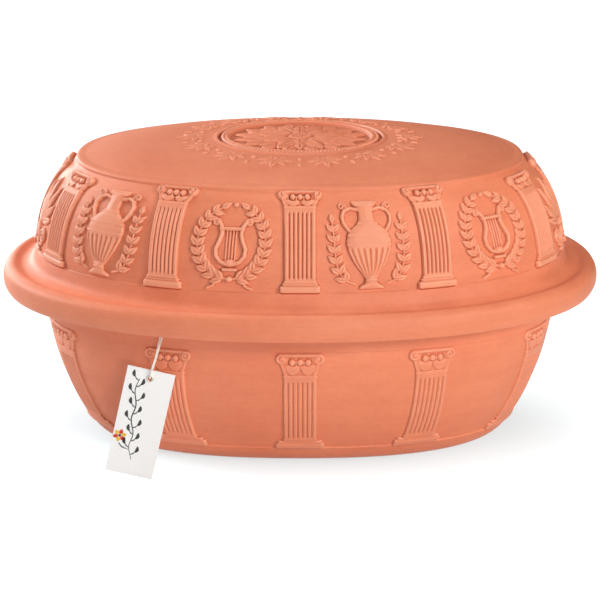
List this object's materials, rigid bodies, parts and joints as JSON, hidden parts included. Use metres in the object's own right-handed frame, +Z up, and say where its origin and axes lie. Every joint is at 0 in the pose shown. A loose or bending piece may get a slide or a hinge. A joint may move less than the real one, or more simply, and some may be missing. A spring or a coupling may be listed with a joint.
{
  "type": "oval clay roaster",
  "caption": "Oval unglazed clay roaster: a deep base pot and a domed lift-off lid with an overhanging rounded rim, with a small paper tag on a string loop.",
  "frame": {"origin": "on the table, under the middle of the pot and lid", "axes": "+X along the oval's length, -Y towards the side that the picture shows, +Z up"},
  "size_m": [0.4102, 0.28, 0.2082],
  "materials": {
    "base_clay": "unglazed, matt",
    "lid_clay": "unglazed, matt",
    "tag_cotton": "twisted cotton",
    "tag_paper": "smooth, matt",
    "tag_metal": "nickel plated, satin"
  },
  "bodies": {
    "base": {"base_pot": "base_clay"},
    "lid": {"lid": "lid_clay"},
    "string": {"tag_string": "tag_cotton"},
    "tag": {"tag_card": "tag_paper", "tag_eyelet": "tag_metal"}
  },
  "joints": [
    {"name": "lid_lift", "type": "slide", "parent": "base", "child": "lid", "axis": [0, 0, 1], "range_m": [0, 0.12]},
    {"name": "string_swing", "type": "hinge", "parent": "base", "child": "string", "pos_m": [-0.0866, -0.10424, 0.1087], "axis": [-0.2597, -0.9657, 0], "range_deg": [-20, 40]},
    {"name": "tag_swing", "type": "hinge", "parent": "string", "child": "tag", "pos_m": [-0.0962, -0.1125, 0.0737], "axis": [0, -1, 0], "range_deg": [-60, 60]}
  ]
}
